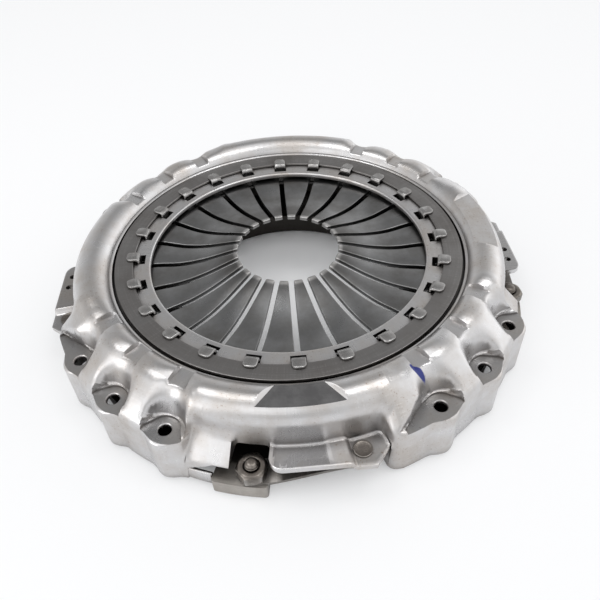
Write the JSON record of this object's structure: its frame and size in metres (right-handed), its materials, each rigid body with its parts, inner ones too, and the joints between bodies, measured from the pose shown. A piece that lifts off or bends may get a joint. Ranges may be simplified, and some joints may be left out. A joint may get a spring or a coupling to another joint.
{
  "type": "clutch pressure plate",
  "caption": "Diaphragm-spring clutch cover with a pressed steel housing, slotted spring fingers, tangential straps and a cast pressure plate, for a truck friction clutch.",
  "frame": {"origin": "on the clutch axis, in the plane of the pressure plate's friction face", "axes": "+Z along the clutch axis, from the flywheel towards the release bearing; -Y points at the strap unit with the bare panel"},
  "size_m": [0.476, 0.476, 0.0855],
  "materials": {
    "cover_steel": "bright drawn sheet with drawing marks",
    "ring_steel": "dull grey",
    "tab_steel": "tumbled, dull",
    "spring_steel": "phosphated and oiled, bright worn tips",
    "plate_iron": "cast, friction face ground",
    "strap_steel": "dark rolled strip",
    "fastener_steel": "phosphated, brownish grey"
  },
  "bodies": {
    "cover": {"cover_housing": "cover_steel", "preload_disc_spring": "ring_steel", "retaining_tab_ring": "tab_steel", "upper_pivot_ring": "ring_steel", "lower_pivot_ring": "ring_steel", "strap_rivet_1": "fastener_steel", "strap_rivet_2": "fastener_steel", "strap_rivet_3": "fastener_steel", "strap_rivet_4": "fastener_steel", "strap_1_leaf_bottom": "strap_steel", "strap_1_leaf_middle": "strap_steel", "strap_1_leaf_top": "strap_steel", "strap_2_leaf_bottom": "strap_steel", "strap_2_leaf_middle": "strap_steel", "strap_2_leaf_top": "strap_steel", "strap_3_leaf_bottom": "strap_steel", "strap_3_leaf_middle": "strap_steel", "strap_3_leaf_top": "strap_steel", "strap_4_leaf_bottom": "strap_steel", "strap_4_leaf_middle": "strap_steel", "strap_4_leaf_top": "strap_steel"},
    "pressure_plate": {"pressure_plate": "plate_iron", "lug_bolt_1": "fastener_steel", "lug_nut_1": "fastener_steel", "lug_bolt_2": "fastener_steel", "lug_nut_2": "fastener_steel", "lug_bolt_3": "fastener_steel", "lug_nut_3": "fastener_steel", "lug_bolt_4": "fastener_steel", "lug_nut_4": "fastener_steel"},
    "diaphragm_spring": {"diaphragm_spring": "spring_steel"}
  },
  "joints": [
    {"name": "plate_lift", "type": "slide", "parent": "cover", "child": "pressure_plate", "axis": [0, 0, 1], "range_m": [0, 0.0095], "stiffness_N_per_m": 400000, "deforming": ["strap_1_leaf_bottom", "strap_1_leaf_middle", "strap_1_leaf_top", "strap_2_leaf_bottom", "strap_2_leaf_middle", "strap_2_leaf_top", "strap_3_leaf_bottom", "strap_3_leaf_middle", "strap_3_leaf_top", "strap_4_leaf_bottom", "strap_4_leaf_middle", "strap_4_leaf_top"]},
    {"name": "finger_travel", "type": "slide", "parent": "cover", "child": "diaphragm_spring", "axis": [0, 0, -1], "range_m": [0, 0.0345], "deforming": ["diaphragm_spring"]}
  ],
  "couplings": [
    {"joint": "finger_travel", "follows": "plate_lift", "ratio": 3.617}
  ]
}
